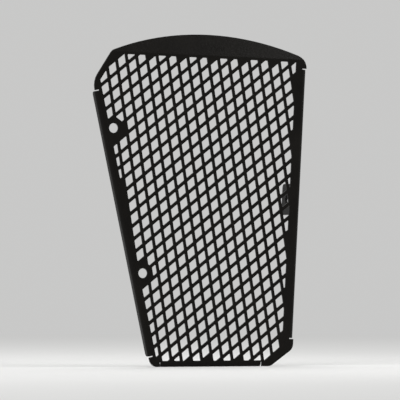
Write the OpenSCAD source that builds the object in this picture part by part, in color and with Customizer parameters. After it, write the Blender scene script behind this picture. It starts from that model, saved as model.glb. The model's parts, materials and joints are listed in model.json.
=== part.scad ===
// Guard panel for a motorcycle radiator, for the machine's right-hand side.
// One sheet of steel: a punched face, an arched header folded back along its top,
// three stiffening edges folded back behind it, and a tab on the inner one.
// X runs inwards to the fork, Y runs back to the radiator and Z runs up.
// The origin is the centre of the upper fixing hole, on the back of the sheet.

/* [Sheet] */
// Thickness of the sheet
sheet_t = 1.5; // [1:0.1:2.5]
// Inside radius of the folds
bend_r = 1; // [0.5:0.1:2.5]

/* [Face] */
// Height of the header fold above the bottom edge, under the crown
fold_h = 177.5; // [160:0.5:200]
// Width of the bottom edge on the outer side of the crown
outer_half = 32.5; // [24:0.5:46]
// Width of the bottom edge on the inner side of the crown
inner_half = 54.5; // [44:0.5:68]
// Lean of the outer edge from upright, outwards to the top, in degrees
outer_lean = 12.2; // [6:0.1:16]
// Lean of the inner edge from upright, inwards to the top, in degrees
inner_lean = 3.1; // [0:0.1:7]
// Height of the cut shoulder below the header fold, down the outer edge
shoulder_drop = 18; // [12:0.5:24]
// Width of the cut shoulder, in from the outer edge along the fold
shoulder_in = 15; // [10:0.5:20]
// Radius that rounds the foot of the shoulder
shoulder_r = 12; // [5:0.5:13]
// Width of the cut at the bottom inner corner
toe_w = 13.5; // [9:0.5:22]
// Height of the cut at the bottom inner corner
toe_h = 10; // [6:0.5:18]
// Radius that rounds the inner end of the arched top
crown_end_r = 8; // [3:0.5:8.5]
// Radius that rounds the other corners
corner_r = 5; // [2:0.5:6]

/* [Header] */
// Height of the crown above the header fold
header_rise = 12; // [8:0.5:16]
// Radius of the arched top
crown_r = 161; // [140:1:220]
// Angle that the header is folded back by, in degrees
header_tilt = 20; // [5:1:45]
// Drop of the fold line to the inner side, in degrees
fold_lean = 1.5; // [0:0.1:4]

/* [Openings] */
// Distance between neighbouring openings along a bar
mesh_pitch = 7.1; // [6.5:0.1:12]
// Width of the bars that climb to the inner side
climb_bar = 1.8; // [1.2:0.1:3]
// Width of the steep bars
steep_bar = 1.6; // [1.2:0.1:3]
// Angle of the climbing bars above level, in degrees
climb_angle = 38.5; // [30:0.5:45]
// Angle between the climbing and the steep bars, in degrees
mesh_angle = 60.5; // [50:0.5:80]
// Share of a whole opening that a cut one needs, to be punched at all
least_share = 0.3; // [0.2:0.05:0.6]

/* [Plain margins] */
// Plain strip beside the bend of the outer edge
outer_margin = 1.8; // [0.3:0.1:5]
// Plain strip beside the bend of the inner edge
inner_margin = 4; // [0.5:0.1:6]
// Plain strip above the bend of the bottom edge
bottom_margin = 0.9; // [0.3:0.1:5]
// Plain strip below the bend of the header
fold_margin = 1; // [0.3:0.1:5]
// Plain strip along the cut shoulder and the cut corner
cut_margin = 3.2; // [2:0.1:8]
// Radius of the plain land round each fixing hole
land_r = 6; // [4.5:0.5:10]

/* [Folded edges] */
// Depth of the folded edges behind the front of the face
edge_d = 5.5; // [5:0.5:12]
// Distance from a corner of the face to the end of a folded edge
edge_gap = 6; // [5:0.5:14]
// Width of the relief slot beside each fold
relief_w = 0.6; // [0.4:0.1:3]
// Radius on the free corners of the folded edges
edge_r = 2; // [1:0.5:3]

/* [Fixings] */
// Diameter of the two fixing holes in the face
fix_d = 5.5; // [4.5:0.1:7.5]
// Distance of the fixing holes from the outer edge
fix_inset = 6.5; // [6.5:0.5:12]
// Distance of the lower fixing hole from the bottom, along the outer edge
fix_low = 53; // [35:1:70]
// Distance of the upper fixing hole from the bottom, along the outer edge
fix_high = 137; // [115:1:140]
// Reach of the tab behind the front of the face
tab_d = 24; // [20:0.5:40]
// Width of the tab
tab_w = 18; // [14:0.5:30]
// Height of the middle of the tab, along the inner edge
tab_at = 96; // [60:1:120]
// Diameter of the hole in the tab
tab_hole_d = 5.5; // [4.5:0.1:8]
// Distance of that hole from the end of the tab
tab_hole_in = 8; // [7:0.5:10]
// Radius of the fillets at the root of the tab
root_r = 3; // [1:0.5:5]

/* [Hidden] */
$fn = 60;
arc_step = 15;                   // largest turn between points of a rounded corner
crown_step = 2;                  // largest turn between points of the long arc of the crown
lap = 0.2;                       // how far the flat of a folded strip runs on past its bend
seam = lap / 2;                  // how far from the bend the face meets that flat
over = 5;                        // how far a cutting shape runs past what it cuts
bend_out = bend_r + sheet_t;     // outside radius of the folds
crown_z = fold_h + header_rise;  // height of the crown above the bottom edge
arch = [0, crown_z - crown_r];   // centre of the arched top
tilt_run = bend_out * tan(header_tilt / 2);  // from the fold line to where the bend starts

// Directions in the face, as [inwards, up]
outer_up = [-sin(outer_lean), cos(outer_lean)];
inner_up = [sin(inner_lean), cos(inner_lean)];
fold_in = [cos(fold_lean), -sin(fold_lean)];

// Corners of the face, round the outside of the folds
foot_outer = [-outer_half, 0];
foot_inner = [inner_half, 0];
fold_mid = [0, fold_h];
fold_outer = meet(foot_outer, outer_up, fold_mid, fold_in);
shoulder_low = fold_outer - shoulder_drop * outer_up;
shoulder_top = fold_outer + shoulder_in * fold_in;
shoulder_up = unit(shoulder_top - shoulder_low);
toe_low = foot_inner - [toe_w, 0];
toe_top = foot_inner + toe_h / inner_up[1] * inner_up;
toe_up = unit(toe_top - toe_low);
crown_inner = on_arch(foot_inner, inner_up);
crown_outer = on_arch(shoulder_low, shoulder_up);

// Centres of the fixing holes in the face
outer_in = [outer_up[1], -outer_up[0]];
fix_lower = foot_outer + fix_low * outer_up + fix_inset * outer_in;
fix_upper = foot_outer + fix_high * outer_up + fix_inset * outer_in;

// Where each folded edge starts and how long it is, going round the face
bottom_len = toe_low[0] - foot_outer[0] - 2 * edge_gap;
inner_len = norm(crown_inner - toe_top) - 2 * edge_gap;
outer_len = norm(shoulder_low - foot_outer) - 2 * edge_gap;
bottom_start = foot_outer + [edge_gap, 0];
inner_start = toe_top + edge_gap * inner_up;
outer_start = shoulder_low - edge_gap * outer_up;

// Vector along v, one long
function unit(v) = v / norm(v);

// Size of the turn from a to b
function cross2(a, b) = a[0] * b[1] - a[1] * b[0];

// Point where the line through p along u meets the line through q along v
function meet(p, u, q, v) = p + u * cross2(q - p, v) / cross2(u, v);

// Point where the line through p along u, followed up, runs out through the arch
function on_arch(p, u) = p + u * (-(p - arch) * u + sqrt(pow((p - arch) * u, 2)
    - (p - arch) * (p - arch) + crown_r * crown_r));

// Vector v turned by an angle
function turned(v, angle) = [v[0] * cos(angle) - v[1] * sin(angle), v[0] * sin(angle) + v[1] * cos(angle)];

// Points of an arc round c that lie between the points a and b, the short way
function between(c, a, b, step) = let (sweep = atan2(cross2(a - c, b - c), (a - c) * (b - c)),
    n = ceil(abs(sweep) / step)) [for (i = [1 : 1 : n - 1]) c + turned(a - c, sweep * i / n)];

// The same arc with its two ends
function arc(c, a, b) = concat([a], between(c, a, b, arc_step), [b]);

// Round corner of radius r at p, from the side that comes from a to the side that goes on to b
function corner(a, p, b, r) = let (u = unit(a - p), v = unit(b - p), half = acos(u * v) / 2)
    arc(p + unit(u + v) * r / sin(half), p + u * r / tan(half), p + v * r / tan(half));

// Centre of the fillet of radius r between the arch and the line through p along u, on side s
function arch_fillet(p, u, s, r) = let (q = p + s * r * [u[1], -u[0]] - arch)
    arch + q + u * (-q * u + sqrt(pow(q * u, 2) - q * q + pow(crown_r - r, 2)));

// Where that fillet leaves the line, and where it meets the arch
function line_end(c, u, s, r) = c - s * r * [u[1], -u[0]];
function arch_end(c) = arch + crown_r * unit(c - arch);

// Outline of the guard from the front, going round from the bottom
inner_c = arch_fillet(foot_inner, inner_up, -1, crown_end_r);
outer_c = arch_fillet(shoulder_low, shoulder_up, 1, corner_r);
outline = concat(
    corner(shoulder_low, foot_outer, toe_low, corner_r),
    corner(foot_outer, toe_low, toe_top, corner_r),
    corner(toe_low, toe_top, crown_inner, corner_r),
    arc(inner_c, line_end(inner_c, inner_up, -1, crown_end_r), arch_end(inner_c)),
    between(arch, arch_end(inner_c), arch_end(outer_c), crown_step),
    arc(outer_c, arch_end(outer_c), line_end(outer_c, shoulder_up, 1, corner_r)),
    corner(crown_outer, shoulder_low, foot_outer, shoulder_r));

// The half-planes that hold the openings, each as a point on its edge and the way in
field = [
    [foot_outer + (bend_out + outer_margin) * outer_in, outer_in],
    [shoulder_low + cut_margin * [shoulder_up[1], -shoulder_up[0]], [shoulder_up[1], -shoulder_up[0]]],
    [fold_mid - (tilt_run + fold_margin) * [-fold_in[1], fold_in[0]], [fold_in[1], -fold_in[0]]],
    [foot_inner - (bend_out + inner_margin) * [inner_up[1], -inner_up[0]], [-inner_up[1], inner_up[0]]],
    [toe_low + cut_margin * [-toe_up[1], toe_up[0]], [-toe_up[1], toe_up[0]]],
    [foot_outer + [0, bend_out + bottom_margin], [0, 1]]
];

// One step between neighbouring openings along a climbing bar, and along a steep one
climb = mesh_pitch * [cos(climb_angle), sin(climb_angle)];
steep = mesh_pitch * [cos(climb_angle + mesh_angle), sin(climb_angle + mesh_angle)];

// Half the sides of an opening: a pitch less the bar that it stops at
half_climb = climb / 2 * (1 - steep_bar / (mesh_pitch * sin(mesh_angle)));
half_steep = steep / 2 * (1 - climb_bar / (mesh_pitch * sin(mesh_angle)));
whole_area = 4 * cross2(half_climb, half_steep);

// An opening with its centre at c
function opening(c) = [c - half_climb - half_steep, c + half_climb - half_steep,
    c + half_climb + half_steep, c - half_climb + half_steep];

// The part of a convex outline that lies on the inner side of one half-plane
function trim(pts, side) = [for (i = [0 : len(pts) - 1])
    let (a = pts[i], b = pts[(i + 1) % len(pts)],
        da = (a - side[0]) * side[1], db = (b - side[0]) * side[1])
    each concat(da >= 0 ? [a] : [], da * db < 0 ? [a + (b - a) * da / (da - db)] : [])];

// The part that lies on the inner side of the half-planes from number n on
function trim_all(pts, n = 0) = n == len(field) || len(pts) < 3 ? pts
    : trim_all(trim(pts, field[n]), n + 1);

// Area of an outline
function area(pts, i = 0) = len(pts) < 3 || i == len(pts) ? 0
    : cross2(pts[i], pts[(i + 1) % len(pts)]) / 2 + area(pts, i + 1);

// Distance from the point c to the side from a to b
function side_gap(c, a, b) =
    let (along = max(0, min(1, (c - a) * (b - a) / ((b - a) * (b - a)))))
    norm(c - a - along * (b - a));

// Distance from the point c to an outline that it lies outside of
function gap(c, pts) = min([for (i = [0 : len(pts) - 1])
    side_gap(c, pts[i], pts[(i + 1) % len(pts)])]);

// What the land round the point c leaves of an outline: all that lies past one straight cut
function past_land(pts, c) = len(pts) < 3 || gap(c, pts) > land_r ? pts
    : let (way = unit([for (p = pts) 1 / len(pts)] * pts - c)) trim(pts, [c + land_r * way, way]);

// Every opening: whole ones, and cut ones that are large enough
reach = ceil(2 * (crown_z + outer_half + inner_half) / mesh_pitch);
openings = [for (i = [-reach : reach]) for (j = [-reach : reach])
    let (c = [0, crown_z / 2] + i * climb + j * steep)
    if (abs(c[0]) < crown_z && abs(c[1] - crown_z / 2) < crown_z)
    let (pts = past_land(past_land(trim_all(opening(c)), fix_lower), fix_upper))
    if (area(pts) > least_share * whole_area) pts];

// Flat shapes are drawn as [inwards, up] and stand in the face, with their back at Y = 0
module stand(depth) {
    rotate([90, 0, 0]) linear_extrude(depth) children();
}

// Strip of the face that a fold and its two relief slots take up
module fold_strip(start, along, length) {
    out = [along[1], -along[0]];
    a = start - relief_w * along;
    b = start + (length + relief_w) * along;
    deep = bend_out + seam;
    polygon([a - deep * out, b - deep * out, b + over * out, a + over * out]);
}

// Everything below the seam of the header
module below_header() {
    wide = 2 * crown_z;
    translate(fold_mid) rotate(-fold_lean) translate([-wide / 2, -wide - tilt_run - seam]) square(wide);
}

// The flat face, with its openings and its two fixing holes
module face() {
    stand(sheet_t) difference() {
        intersection() {
            polygon(outline);
            below_header();
        }
        fold_strip(bottom_start, [1, 0], bottom_len);
        fold_strip(inner_start, inner_up, inner_len);
        fold_strip(outer_start, -outer_up, outer_len);
        for (pts = openings) polygon(pts);
        translate(fix_lower) circle(d = fix_d);
        translate(fix_upper) circle(d = fix_d);
    }
}

// Section of a sheet folded by an angle: one leg runs down, the other back and up
module fold_section(angle, down, up) {
    inside = bend_out + over;
    difference() {
        union() {
            circle(bend_out);
            translate([-bend_out, -down]) square([bend_out, down]);
            rotate(-angle) translate([-bend_out, 0]) square([bend_out, up]);
        }
        circle(bend_r);
        translate([-bend_r, -down - over]) square([inside, down + over]);
        rotate(-angle) translate([-bend_r, 0]) square([inside, up + over]);
        translate([-inside, -down - inside]) square([2 * inside, inside]);
    }
}

// The header: a folded strip, cut to the outline
module header() {
    long = 2 * (outer_half + inner_half + crown_z);
    intersection() {
        translate([0, 0, fold_h]) rotate([0, fold_lean, 0])
            translate([-long / 2, bend_r, -tilt_run])
            rotate([90, 0, 90]) linear_extrude(long)
            fold_section(header_tilt, lap, 3 * header_rise);
        translate([0, crown_z, 0]) stand(2 * crown_z) polygon(outline);
    }
}

// A flap with rounded free corners, from the root at y = 0
module flap(length, depth, r) {
    translate([0, -over]) square([length, depth - r + over]);
    translate([r, -over]) square([length - 2 * r, depth + over]);
    translate([r, depth - r]) circle(r);
    translate([length - r, depth - r]) circle(r);
}

// A folded edge, travelling from start along the face. The children are its side view,
// drawn as [distance along, depth behind the front]
module folded_edge(start, along, length, depth) {
    turn = atan2(along[1], along[0]);
    translate([start[0], -sheet_t, start[1]]) rotate([0, 90 - turn, 0]) intersection() {
        translate([0, 0, -over]) linear_extrude(length + 2 * over)
            translate([-bend_out, bend_out]) mirror([1, -1]) fold_section(90, lap, depth);
        rotate([0, -90, 0]) linear_extrude(2 * over) children();
    }
}

// The guard panel, moved so that its upper fixing hole is at the origin
module guard_panel() {
    color("#17171a") translate([-fix_upper[0], 0, -fix_upper[1]]) {
        face();
        header();
        folded_edge(bottom_start, [1, 0], bottom_len, edge_d) flap(bottom_len, edge_d, edge_r);
        folded_edge(outer_start, -outer_up, outer_len, edge_d) flap(outer_len, edge_d, edge_r);
        folded_edge(inner_start, inner_up, inner_len, tab_d) inner_side();
    }
}

// Fillet that fills the corner between a flap below it and a tab on its left
module root_fillet() {
    difference() {
        translate([-lap, -lap]) square(root_r + lap);
        translate([root_r, root_r]) circle(root_r);
    }
}

// Side view of the inner folded edge with its tab
module inner_side() {
    mid = tab_at - edge_gap - toe_h / inner_up[1];
    difference() {
        union() {
            flap(inner_len, edge_d, edge_r);
            translate([mid - tab_w / 2, 0]) flap(tab_w, tab_d, edge_r);
            translate([mid + tab_w / 2, edge_d]) root_fillet();
            translate([mid - tab_w / 2, edge_d]) mirror([1, 0]) root_fillet();
        }
        translate([mid, tab_d - tab_hole_in]) circle(d = tab_hole_d);
    }
}

guard_panel();
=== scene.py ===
import json
import math

import bmesh
import bpy
import numpy as np
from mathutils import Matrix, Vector
from mathutils.geometry import delaunay_2d_cdt

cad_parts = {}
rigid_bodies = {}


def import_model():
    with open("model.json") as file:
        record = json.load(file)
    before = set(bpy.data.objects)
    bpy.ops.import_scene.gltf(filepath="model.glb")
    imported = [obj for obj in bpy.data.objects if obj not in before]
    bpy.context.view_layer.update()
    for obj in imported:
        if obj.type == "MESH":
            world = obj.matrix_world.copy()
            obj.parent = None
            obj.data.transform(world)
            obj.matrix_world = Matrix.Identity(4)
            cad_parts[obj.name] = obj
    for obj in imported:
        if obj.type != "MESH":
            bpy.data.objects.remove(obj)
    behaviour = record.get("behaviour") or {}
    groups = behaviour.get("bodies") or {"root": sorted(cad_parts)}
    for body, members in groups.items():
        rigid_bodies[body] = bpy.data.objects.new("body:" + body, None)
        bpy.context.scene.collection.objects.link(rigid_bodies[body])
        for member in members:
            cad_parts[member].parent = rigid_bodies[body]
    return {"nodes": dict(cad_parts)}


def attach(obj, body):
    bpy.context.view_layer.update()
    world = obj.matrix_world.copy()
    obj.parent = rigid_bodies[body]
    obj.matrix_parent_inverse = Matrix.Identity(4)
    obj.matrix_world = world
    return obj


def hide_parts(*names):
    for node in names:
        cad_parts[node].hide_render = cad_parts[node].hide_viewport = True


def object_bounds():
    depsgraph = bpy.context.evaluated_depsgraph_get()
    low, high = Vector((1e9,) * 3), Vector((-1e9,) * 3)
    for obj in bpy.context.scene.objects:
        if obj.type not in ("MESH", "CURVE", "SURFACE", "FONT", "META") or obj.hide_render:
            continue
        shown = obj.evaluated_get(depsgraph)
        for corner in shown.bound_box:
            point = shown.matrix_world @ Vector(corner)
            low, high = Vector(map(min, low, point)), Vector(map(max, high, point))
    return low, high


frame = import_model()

cadBox = [list(corner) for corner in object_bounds()]  # the size that the sheet metal was cut to
cadLow, cadHigh = Vector(cadBox[0]), Vector(cadBox[1])
cadMiddle = (cadLow + cadHigh) / 2
mm = 0.001  # lengths below are in millimetres and become metres here


def standAround(item, aim, azimuth, elevation, distance):
    # A camera or lamp that is a degrees round and e degrees up stands its distance from the aim
    # along (sin a * cos e, -cos a * cos e, sin e), and looks back at it
    azimuth, elevation = math.radians(azimuth), math.radians(elevation)
    back = Vector((math.sin(azimuth) * math.cos(elevation),
                   -math.cos(azimuth) * math.cos(elevation), math.sin(elevation)))
    item.location = aim + back * distance
    item.rotation_mode = "QUATERNION"
    item.rotation_quaternion = (-back).to_track_quat("-Z", "Y")
    bpy.context.scene.collection.objects.link(item)


# Camera. The guard sits in a small square of the picture, so this view keeps the photographer's
# standpoint and frames that square alone: the same lens, lengthened by the crop.
photoView = {
    "azimuth": -22.0,          # degrees round from straight ahead, towards the outer edge
    "elevation": -1.0,         # degrees above level
    "distance": 2.57,          # metres from the lens to the guard
    "photoLens": 140.0,        # mm, for the whole picture on a sensor of the width below
    "sensor": 36.0,            # mm
    "photoSide": 400.0,        # pixels along the picture
    "cropSide": 138.0,         # pixels along the square that holds the guard
    "aimX": 53.13,             # mm, point of the guard at the middle of that square
    "aimZ": -40.35,
    "nearest": 0.05,           # metres, what the camera sees lies between these
    "farthest": 60.0,
}


def makeCamera(view):
    # lens = photo's lens * photo's side / side of the square
    data = bpy.data.cameras.new("photoCamera")
    data.sensor_width = view["sensor"]
    data.lens = view["photoLens"] * view["photoSide"] / view["cropSide"]
    data.clip_start, data.clip_end = view["nearest"], view["farthest"]
    camera = bpy.data.objects.new("photoCamera", data)
    aim = Vector((view["aimX"] * mm, 0.0, view["aimZ"] * mm))
    standAround(camera, aim, view["azimuth"], view["elevation"], view["distance"])
    bpy.context.scene.camera = camera


makeCamera(photoView)
print("camera set, %.0f mm lens" % bpy.context.scene.camera.data.lens)


# Shader maths: a Wire is a socket's value, and expressions on wires add the Math nodes
class Wire:
    def __init__(self, tree, end):
        self.tree, self.end = tree, end

    def __add__(self, other):
        return self.tree.maths("ADD", self, other)

    def __sub__(self, other):
        return self.tree.maths("SUBTRACT", self, other)

    def __rsub__(self, other):
        return self.tree.maths("SUBTRACT", other, self)

    def __mul__(self, other):
        return self.tree.maths("MULTIPLY", self, other)

    def __truediv__(self, other):
        return self.tree.maths("DIVIDE", self, other)

    def __rtruediv__(self, other):
        return self.tree.maths("DIVIDE", other, self)

    __radd__ = __add__
    __rmul__ = __mul__

    def clamped(self, low=0.0, high=1.0):
        return self.tree.maths("MINIMUM", self.tree.maths("MAXIMUM", self, low), high)


class Tree:
    def __init__(self, owner):
        owner.use_nodes = True
        self.nodes, self.links = owner.node_tree.nodes, owner.node_tree.links
        self.nodes.clear()

    # any node: its settings are set first, then its sockets take values or wires
    def add(self, kind, settings=None, **sockets):
        node = self.nodes.new(kind)
        for name, value in (settings or {}).items():
            setattr(node, name, value)
        for name, value in sockets.items():
            self.feed(self.socket(node, name), value)
        return node

    # a socket by number, as in n0, or by its label with underscores for spaces
    def socket(self, node, name):
        if name[0] == "n" and name[1:].isdigit():
            return node.inputs[int(name[1:])]
        return node.inputs[name.replace("_", " ")]

    def feed(self, socket, value):
        if isinstance(value, Wire):
            value = value.end
        if isinstance(value, bpy.types.NodeSocket):
            self.links.new(value, socket)
        else:
            socket.default_value = value

    def maths(self, operation, a, b):
        return Wire(self, self.add("ShaderNodeMath", {"operation": operation}, n0=a, n1=b).outputs[0])

    # soft spots: mm from one to the next, layers of finer ones, and a layer's share of the last
    def noise(self, where, size, detail, roughness):
        node = self.add("ShaderNodeTexNoise", {"noise_dimensions": "3D"}, Vector=where,
                        Scale=1.0 / (size * mm), Detail=detail, Roughness=roughness)
        return Wire(self, node.outputs["Fac"])

    def blend(self, factor, first, second):
        node = self.add("ShaderNodeMix", {"data_type": "RGBA"}, n0=factor, n6=first, n7=second)
        return Wire(self, node.outputs[2])


# Satin black powder coat: a nearly black, slightly warm film with the soft dimples that the baked
# powder leaves, a fine grain on top, and slow changes of gloss where the film is thicker or thinner
powderLook = {
    "thickFilm": (0.0024, 0.0019, 0.0013, 1.0),
    "thinFilm": (0.0048, 0.0038, 0.0026, 1.0),
    # noises: mm from one spot to the next, layers of finer ones, and a layer's share of the last
    "dimples": (1.5, 1.0, 0.5),
    "grain": (0.5, 2.0, 0.6),
    "clouds": (21.0, 3.0, 0.55),   # patches of thicker and thinner film
    "dimpleDepth": 0.05,       # mm
    "grainDepth": 0.035,       # mm
    "cloudFrom": 0.3,          # cloud noise up to which the film is at its thickest
    "cloudGain": 2.2,          # how fast it thins as that noise rises
    "grainMean": 0.5,          # grain noise that leaves the film as it is
    "grainGain": 0.5,          # how much the grain thins or thickens it
    "roughLow": 0.28,          # roughness of thick film, and below of thin film
    "roughHigh": 0.44,
    "specular": 0.12,          # 0 to 1, low because the cured film mirrors little
}


def powderCoat(look):
    # The film goes from 0, thick, to 1, thin: (clouds - from) * gain + (grain - mean) * gain.
    # The height is each noise times its depth.
    material = bpy.data.materials.new("powderCoat")
    tree = Tree(material)
    place = tree.add("ShaderNodeTexCoord").outputs["Object"]
    dimples, grain, clouds = (tree.noise(place, *look[name]) for name in ("dimples", "grain", "clouds"))
    film = ((clouds - look["cloudFrom"]) * look["cloudGain"]
            + (grain - look["grainMean"]) * look["grainGain"]).clamped()
    height = dimples * look["dimpleDepth"] + grain * look["grainDepth"]
    bump = tree.add("ShaderNodeBump", Strength=1.0, Distance=mm, Height=height)
    rough = look["roughLow"] + film * (look["roughHigh"] - look["roughLow"])
    shader = tree.add("ShaderNodeBsdfPrincipled", Metallic=0.0,
                      Base_Color=tree.blend(film, look["thickFilm"], look["thinFilm"]),
                      Roughness=rough, Specular_IOR_Level=look["specular"],
                      Normal=bump.outputs["Normal"])
    tree.add("ShaderNodeOutputMaterial", Surface=shader.outputs["BSDF"])
    return material


# The guard as it leaves the oven. Its two flats are cut out along their rims, each opening gets
# a new wall with rounded corners and edges, and the flats are filled again between the rims.
guardShape = {
    "sheet": 1.5,              # mm, thickness of the sheet
    "punchCorner": 0.5,        # mm, radius in the corners of an opening
    "punchSteps": 3,           # faces round such a corner
    "coatRound": 0.22,         # mm, radius that the coating gives to every edge
    "coatSteps": 2,            # faces across that radius
    "coatProfile": 0.5,        # form of that round, 0.5 for part of a circle
    "tipWithin": 0.15,         # mm, rounds that leave points this near on a flat's rim make them one
    "holeSteps": 60,           # faces round a screw hole
    "mostCorners": 12,         # a rim with more corners than this is a screw hole
    "sideShare": 0.45,         # share of a side that the round at one of its ends may take
    "sameSpot": 0.004,         # mm, corners nearer than this are one
    "sameFill": 0.000001,      # mm, the same for the corners that a flat is filled between
    "sameDigits": 2,           # decimals of their normals in which faces that look one way agree
    "straightOn": 0.02,        # sine of the turn under which a corner is none
    "flatWithin": 0.4,         # degrees between faces that are one flat
    "sharpFrom": 44.0,         # degrees between faces that meet at an edge
}


def readValues(items, name, width, kind=np.float64):
    # an array of one value of each item, or of a row of them where the width is more than 1
    values = np.empty(len(items) * width, dtype=kind)
    items.foreach_get(name, values)
    return values.reshape(-1, width) if width > 1 else values


def followRims(spots, triangles, level, same):
    # A side is numbered first point * count + second point. One that no triangle of the flat has
    # the other way round lies on a rim. Looking 1, 2, 4, 8... sides ahead gives each point the
    # name of its rim, which is its lowest point's number, and then how many sides it is from that
    # point. Sorted by both, each rim is a row of points.
    count = len(spots)
    flat = triangles[np.all(np.abs(spots[triangles, 1] - level) < same, axis=1)]
    sides = np.concatenate([flat[:, [0, 1]], flat[:, [1, 2]], flat[:, [2, 0]]])
    rim = sides[~np.isin(sides @ [count, 1], sides @ [1, count])]
    everyone = np.arange(count)
    ahead = everyone.copy()
    ahead[rim[:, 0]] = rim[:, 1]
    rounds = math.ceil(math.log2(len(rim)))
    name, jump = everyone.copy(), ahead
    for _ in range(rounds):
        name, jump = np.minimum(name, name[jump]), jump[jump]
    first = name == everyone
    away, jump = np.where(first, 0, 1), np.where(first, everyone, ahead)
    for _ in range(rounds):
        away, jump = away + away[jump], jump[jump]
    members = rim[:, 0]
    order = members[np.lexsort((away[members], name[members]))]
    return np.split(order, np.flatnonzero(np.diff(name[order])) + 1)


def trueCorners(outline, shape):
    # leaves out the points at which an outline runs straight on
    ahead = np.roll(outline, -1, axis=0) - outline
    ahead /= np.linalg.norm(ahead, axis=1, keepdims=True)
    behind = np.roll(ahead, 1, axis=0)
    return outline[behind[:, 0] * ahead[:, 1] - behind[:, 1] * ahead[:, 0] > shape["straightOn"]]


def roundCorners(outlines, shape):
    # The centre of a corner's round lies inwards along both sides' normals, by the radius times
    # (normal + normal) / (1 + their product), and the round turns from one normal to the other
    side = np.roll(outlines, -1, axis=1) - outlines
    length = np.linalg.norm(side, axis=2)
    after = np.stack([side[..., 1], -side[..., 0]], axis=2) / length[..., None]
    before = np.roll(after, 1, axis=1)
    product = np.sum(before * after, axis=2)
    turn = np.arccos(np.clip(product, -1.0, 1.0))
    room = shape["sideShare"] * np.minimum(length, np.roll(length, 1, axis=1))
    radius = np.minimum(shape["punchCorner"] * mm, room / np.tan(turn / 2))
    centre = outlines - (radius / (1 + product))[..., None] * (before + after)
    share = np.linspace(0.0, 1.0, shape["punchSteps"] + 1)
    angle = np.arctan2(before[..., 1], before[..., 0])[..., None] + turn[..., None] * share
    return centre[:, :, None], radius[:, :, None], angle


def roundHole(outline, shape):
    # a screw hole is one round about its centre
    centre = outline.mean(axis=0)
    radius = np.linalg.norm(outline - centre, axis=1).mean()
    angle = np.arange(shape["holeSteps"]) * 2 * math.pi / shape["holeSteps"]
    return centre.reshape(1, 1, 1, 2), np.full((1, 1, 1), radius), angle.reshape(1, 1, -1)


def carryWall(centre, radius, angle, start, shape):
    # The wall's profile is a quarter round at the front, a straight and a quarter round at the
    # back. Each of its points is (radius + how far it stands back) * direction from the centre.
    thick, coat = shape["sheet"] * mm, shape["coatRound"] * mm
    turn = np.linspace(0.0, math.pi / 2, shape["coatSteps"] + 1)
    back, deep = coat * (1 - np.sin(turn)), coat * (1 - np.cos(turn))
    growth = np.concatenate([back, back[::-1]])
    level = np.concatenate([deep - thick, -deep[::-1]])
    reach = (radius[..., None] + growth) * np.ones(angle.shape + (1,))
    flatX = centre[..., :1] + reach * np.cos(angle)[..., None]
    flatZ = centre[..., 1:] + reach * np.sin(angle)[..., None]
    spots = np.stack([flatX, np.broadcast_to(level, flatX.shape), flatZ], axis=-1)
    rims, levels = len(spots), len(growth)
    number = start + np.arange(spots.size // 3).reshape(rims, -1, levels)
    ahead = np.roll(number, -1, axis=1)
    quads = np.stack([number[..., :-1], ahead[..., :-1], ahead[..., 1:], number[..., 1:]], axis=-1)
    return spots.reshape(-1, 3), quads.reshape(-1, 4), number[..., 0], number[..., -1]


def openWalls(outlines, start, shape):
    # outlines with as many corners each are worked out together
    corners = np.array([len(outline) for outline in outlines])
    spots, quads, fronts, backs = [], [], [], []
    for count in np.unique(corners):
        alike = [outline for outline in outlines if len(outline) == count]
        if count > shape["mostCorners"]:
            rounds = [roundHole(hole, shape) for hole in alike]
        else:
            rounds = [roundCorners(np.stack(alike), shape)]
        for centre, radius, angle in rounds:
            wall, sides, front, back = carryWall(centre, radius, angle, start, shape)
            start += len(wall)
            spots.append(wall)
            quads.append(sides)
            fronts.extend(front.tolist())
            backs.extend(back.tolist())
    return np.concatenate(spots), np.concatenate(quads), fronts, backs


def closeBody(mesh, holePoints, shape):
    # The solid without its openings: the points round them and the flats' triangles go, and each
    # flat comes back as one face
    mesh.verts.ensure_lookup_table()
    bmesh.ops.delete(mesh, geom=[mesh.verts[number] for number in holePoints], context="VERTS")
    levels, same = (-shape["sheet"] * mm, 0.0), shape["sameSpot"] * mm
    flat = [face for face in mesh.faces
            if any(all(abs(vert.co.y - level) < same for vert in face.verts) for level in levels)]
    bmesh.ops.delete(mesh, geom=flat, context="FACES")
    bmesh.ops.delete(mesh, geom=[vert for vert in mesh.verts if not vert.link_faces], context="VERTS")
    bmesh.ops.holes_fill(mesh, edges=mesh.edges, sides=0)  # 0 for any number of sides
    bmesh.ops.dissolve_limit(mesh, angle_limit=math.radians(shape["flatWithin"]),
                             use_dissolve_boundaries=False, verts=mesh.verts, edges=mesh.edges)
    bmesh.ops.recalc_face_normals(mesh, faces=mesh.faces)


def manySided(faces):
    # those with more corners than a triangle or a quad
    return [face for face in faces if len(face.verts) > 4]


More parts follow.
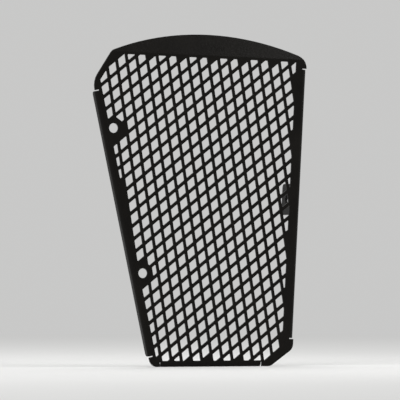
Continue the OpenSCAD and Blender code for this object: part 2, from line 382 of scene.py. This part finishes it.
def softBody(mesh, shape):
    # Every sharp edge of the closed body gets its round. Then the two flats, which are its largest
    # faces, go again, and what is left is open along their rims.
    sharp = [edge for edge in mesh.edges if edge.calc_face_angle() > math.radians(shape["sharpFrom"])]
    bmesh.ops.bevel(mesh, geom=sharp, offset=shape["coatRound"] * mm, offset_type="OFFSET",
                    segments=shape["coatSteps"], profile=shape["coatProfile"], affect="EDGES",
                    clamp_overlap=False)
    crowded = [vert for vert in mesh.verts if manySided(vert.link_faces)]
    bmesh.ops.remove_doubles(mesh, verts=crowded, dist=shape["tipWithin"] * mm)
    mesh.verts.index_update()
    flats = sorted(mesh.faces, key=lambda face: face.calc_area())[-2:]
    flats.sort(key=lambda face: face.verts[0].co.y)
    front, back = ([vert.index for vert in face.verts] for face in flats)
    back.reverse()  # both rims run the same way round
    bmesh.ops.delete(mesh, geom=flats, context="FACES_ONLY")
    bmesh.ops.triangulate(mesh, faces=manySided(mesh.faces), ngon_method="BEAUTY")
    print("body: %d edges softened" % len(sharp))
    return front, back


def fillFlat(spots, rims, shape):
    # a triangulation keeps to every rim, and its triangles inside the first rim alone are metal
    members = np.concatenate(rims)
    ends = np.cumsum([len(rim) for rim in rims])
    rows = [list(range(end - len(rim), end)) for rim, end in zip(rims, ends)]
    places = [Vector(place) for place in spots[members][:, [0, 2]]]
    onlyInside = 1  # kind of answer: the triangles inside the rims, without those around them
    _, _, triangles, origins, _, inside = delaunay_2d_cdt(
        places, [], rows, onlyInside, shape["sameFill"] * mm, True)
    metal = [triangle for triangle, within in zip(triangles, inside) if within == [0]]
    source = members[[origin[0] for origin in origins]]
    return source[np.array(metal)]


def evenNormals(data, shape):
    # A point's normal is the sum of its faces' normals, each times the area of all the faces that
    # look the same way. So a flat stays flat up to the round on its edge, however it is divided.
    normals = readValues(data.polygons, "normal", 3)
    areas = readValues(data.polygons, "area", 1)
    totals = readValues(data.polygons, "loop_total", 1, np.int64)
    corners = readValues(data.loops, "vertex_index", 1, np.int64)
    ways = normals.round(shape["sameDigits"]) + 0.0  # adding 0 makes -0 and 0 the same
    alike = np.unique(ways, axis=0, return_inverse=True)[1].reshape(-1)
    pull = normals * np.bincount(alike, weights=areas)[alike][:, None]
    pull = np.repeat(pull, totals, axis=0)
    summed = np.stack([np.bincount(corners, weights=part) for part in pull.T], axis=1)
    summed /= np.linalg.norm(summed, axis=1, keepdims=True)
    data.normals_split_custom_set_from_vertices(summed.tolist())


def coatedGuard(shape):
    # The openings are read off the front flat of the solid and the body is softened without them.
    # Then it gets their walls, and both flats between the rims.
    mesh = bmesh.new()
    mesh.from_mesh(frame["nodes"]["guard_panel"].data)
    bmesh.ops.remove_doubles(mesh, verts=mesh.verts, dist=shape["sameSpot"] * mm)
    data = bpy.data.meshes.new("coatedGuard")
    mesh.to_mesh(data)
    spots = readValues(data.vertices, "co", 3)
    triangles = readValues(data.loops, "vertex_index", 1, np.int64).reshape(-1, 3)
    rims = followRims(spots, triangles, -shape["sheet"] * mm, shape["sameSpot"] * mm)
    rims.sort(key=lambda rim: np.ptp(spots[rim, 2]))
    holes = rims[:-1]  # the last one runs round the whole flat
    outlines = [trueCorners(spots[rim][:, [0, 2]], shape) for rim in holes]
    closeBody(mesh, np.concatenate(holes), shape)
    frontRim, backRim = softBody(mesh, shape)
    mesh.to_mesh(data)
    mesh.free()
    body = readValues(data.vertices, "co", 3)
    walls, quads, fronts, backs = openWalls(outlines, len(body), shape)
    spots = np.concatenate([body, walls])
    faces = [list(face.vertices) for face in data.polygons] + quads.tolist()
    faces += fillFlat(spots, [frontRim] + fronts, shape).tolist()
    faces += fillFlat(spots, [backRim] + backs, shape)[:, ::-1].tolist()
    data.clear_geometry()
    data.from_pydata(spots, [], faces)
    data.validate()
    data.shade_smooth()
    evenNormals(data, shape)
    guard = bpy.data.objects.new("coatedGuard", data)
    bpy.context.scene.collection.objects.link(guard)
    print("guard: %d openings and screw holes, %d faces" % (len(outlines), len(data.polygons)))
    return guard


guard = coatedGuard(guardShape)
guard.data.materials.append(powderCoat(powderLook))
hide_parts("guard_panel")
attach(guard, "root")


# Studio: one pale floor that fades into the pale backdrop, and soft lamps
studio = {
    "paper": (0.58, 0.58, 0.575, 1.0),   # colour of the backdrop and of the floor far away
    "paperStrength": 1.0,      # at 1 it shows in just that colour
    "floorPaint": (0.78, 0.78, 0.775, 1.0),
    "floorSide": 80.0,         # metres
    "fadeFrom": 0.35,          # metres from the guard where the floor starts to become backdrop
    "fadeTo": 1.6,
    # lamps: degrees round and up from straight ahead, metres away, metres across, watts, and
    # degrees across the beam
    "lamps": {
        "keyLamp": (-62.0, 42.0, 1.5, 0.9, 8.0, 180.0),
        # near, so that the coat shines more on the inner side, and narrow, to spare the floor
        "sheenLamp": (58.0, 32.0, 0.6, 0.3, 0.3, 80.0),
        "topLamp": (160.0, 65.0, 1.5, 0.8, 5.5, 180.0),
    },
}


def makeFloor(room):
    # paint near the guard and glowing paper far off, mixed by (distance - from) / (to - from)
    half, low = room["floorSide"] / 2, cadLow.z
    corners = [(-half, -half, low), (half, -half, low), (half, half, low), (-half, half, low)]
    data = bpy.data.meshes.new("studioFloor")
    data.from_pydata(corners, [], [(0, 1, 2, 3)])
    floor = bpy.data.objects.new("studioFloor", data)
    bpy.context.scene.collection.objects.link(floor)
    material = bpy.data.materials.new("floorPaint")
    tree = Tree(material)
    where = tree.add("ShaderNodeTexCoord").outputs["Object"]
    away = tree.add("ShaderNodeVectorMath", {"operation": "DISTANCE"}, n0=where,
                    n1=(cadMiddle.x, cadMiddle.y, low)).outputs["Value"]
    fade = ((Wire(tree, away) - room["fadeFrom"]) / (room["fadeTo"] - room["fadeFrom"])).clamped()
    paint = tree.add("ShaderNodeBsdfDiffuse", Color=room["floorPaint"])
    paper = tree.add("ShaderNodeEmission", Color=room["paper"], Strength=room["paperStrength"])
    mix = tree.add("ShaderNodeMixShader", n0=fade, n1=paint.outputs[0], n2=paper.outputs[0])
    tree.add("ShaderNodeOutputMaterial", Surface=mix.outputs[0])
    data.materials.append(material)


def makeWorld(room):
    # paper all round, which also lights the guard evenly
    world = bpy.data.worlds.new("studioWorld")
    tree = Tree(world)
    light = tree.add("ShaderNodeBackground", Color=room["paper"], Strength=room["paperStrength"])
    tree.add("ShaderNodeOutputWorld", Surface=light.outputs[0])
    bpy.context.scene.world = world


def makeLamps(room):
    # square lamps round the guard, each aimed at its middle
    for name, (azimuth, elevation, distance, side, power, beam) in room["lamps"].items():
        data = bpy.data.lights.new(name, "AREA")
        data.size, data.energy, data.spread = side, power, math.radians(beam)
        standAround(bpy.data.objects.new(name, data), cadMiddle, azimuth, elevation, distance)


makeFloor(studio)
makeWorld(studio)
makeLamps(studio)
bpy.context.scene.view_settings.view_transform = "Standard"
print("studio set")
